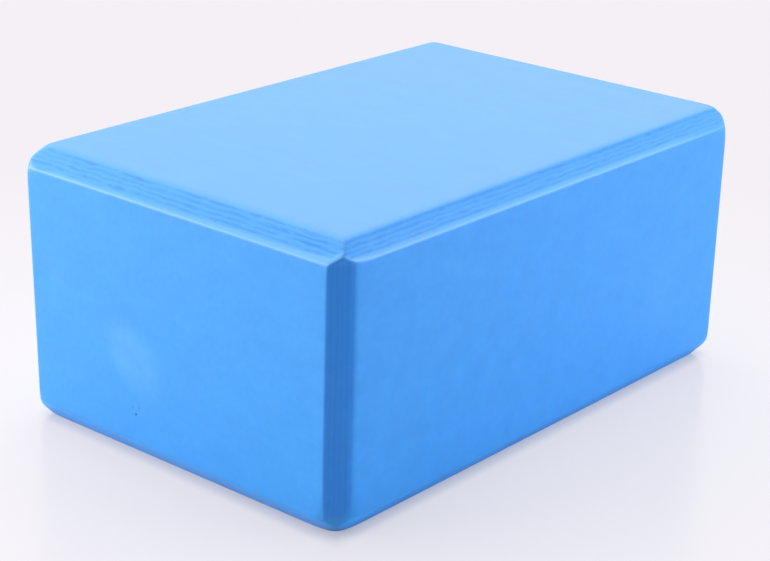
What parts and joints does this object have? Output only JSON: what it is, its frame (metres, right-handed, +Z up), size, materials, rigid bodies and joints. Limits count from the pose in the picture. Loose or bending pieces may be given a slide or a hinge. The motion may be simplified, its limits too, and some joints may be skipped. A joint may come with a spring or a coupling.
{
  "type": "yoga block",
  "caption": "Rectangular foam yoga block with a mitred chamfer along every edge; a firm light support to sit, lean or stand a hand on.",
  "frame": {"origin": "middle of the base, on the surface that the block lies on", "axes": "+X along the length, +Y along the width, +Z up through the height"},
  "size_m": [0.225, 0.151, 0.102],
  "materials": {
    "eva_foam": "matte closed-cell EVA foam, sky blue through and through, cut faces with a faint satin sheen"
  },
  "bodies": {
    "root": {"foam_block": "eva_foam"}
  },
  "joints": []
}
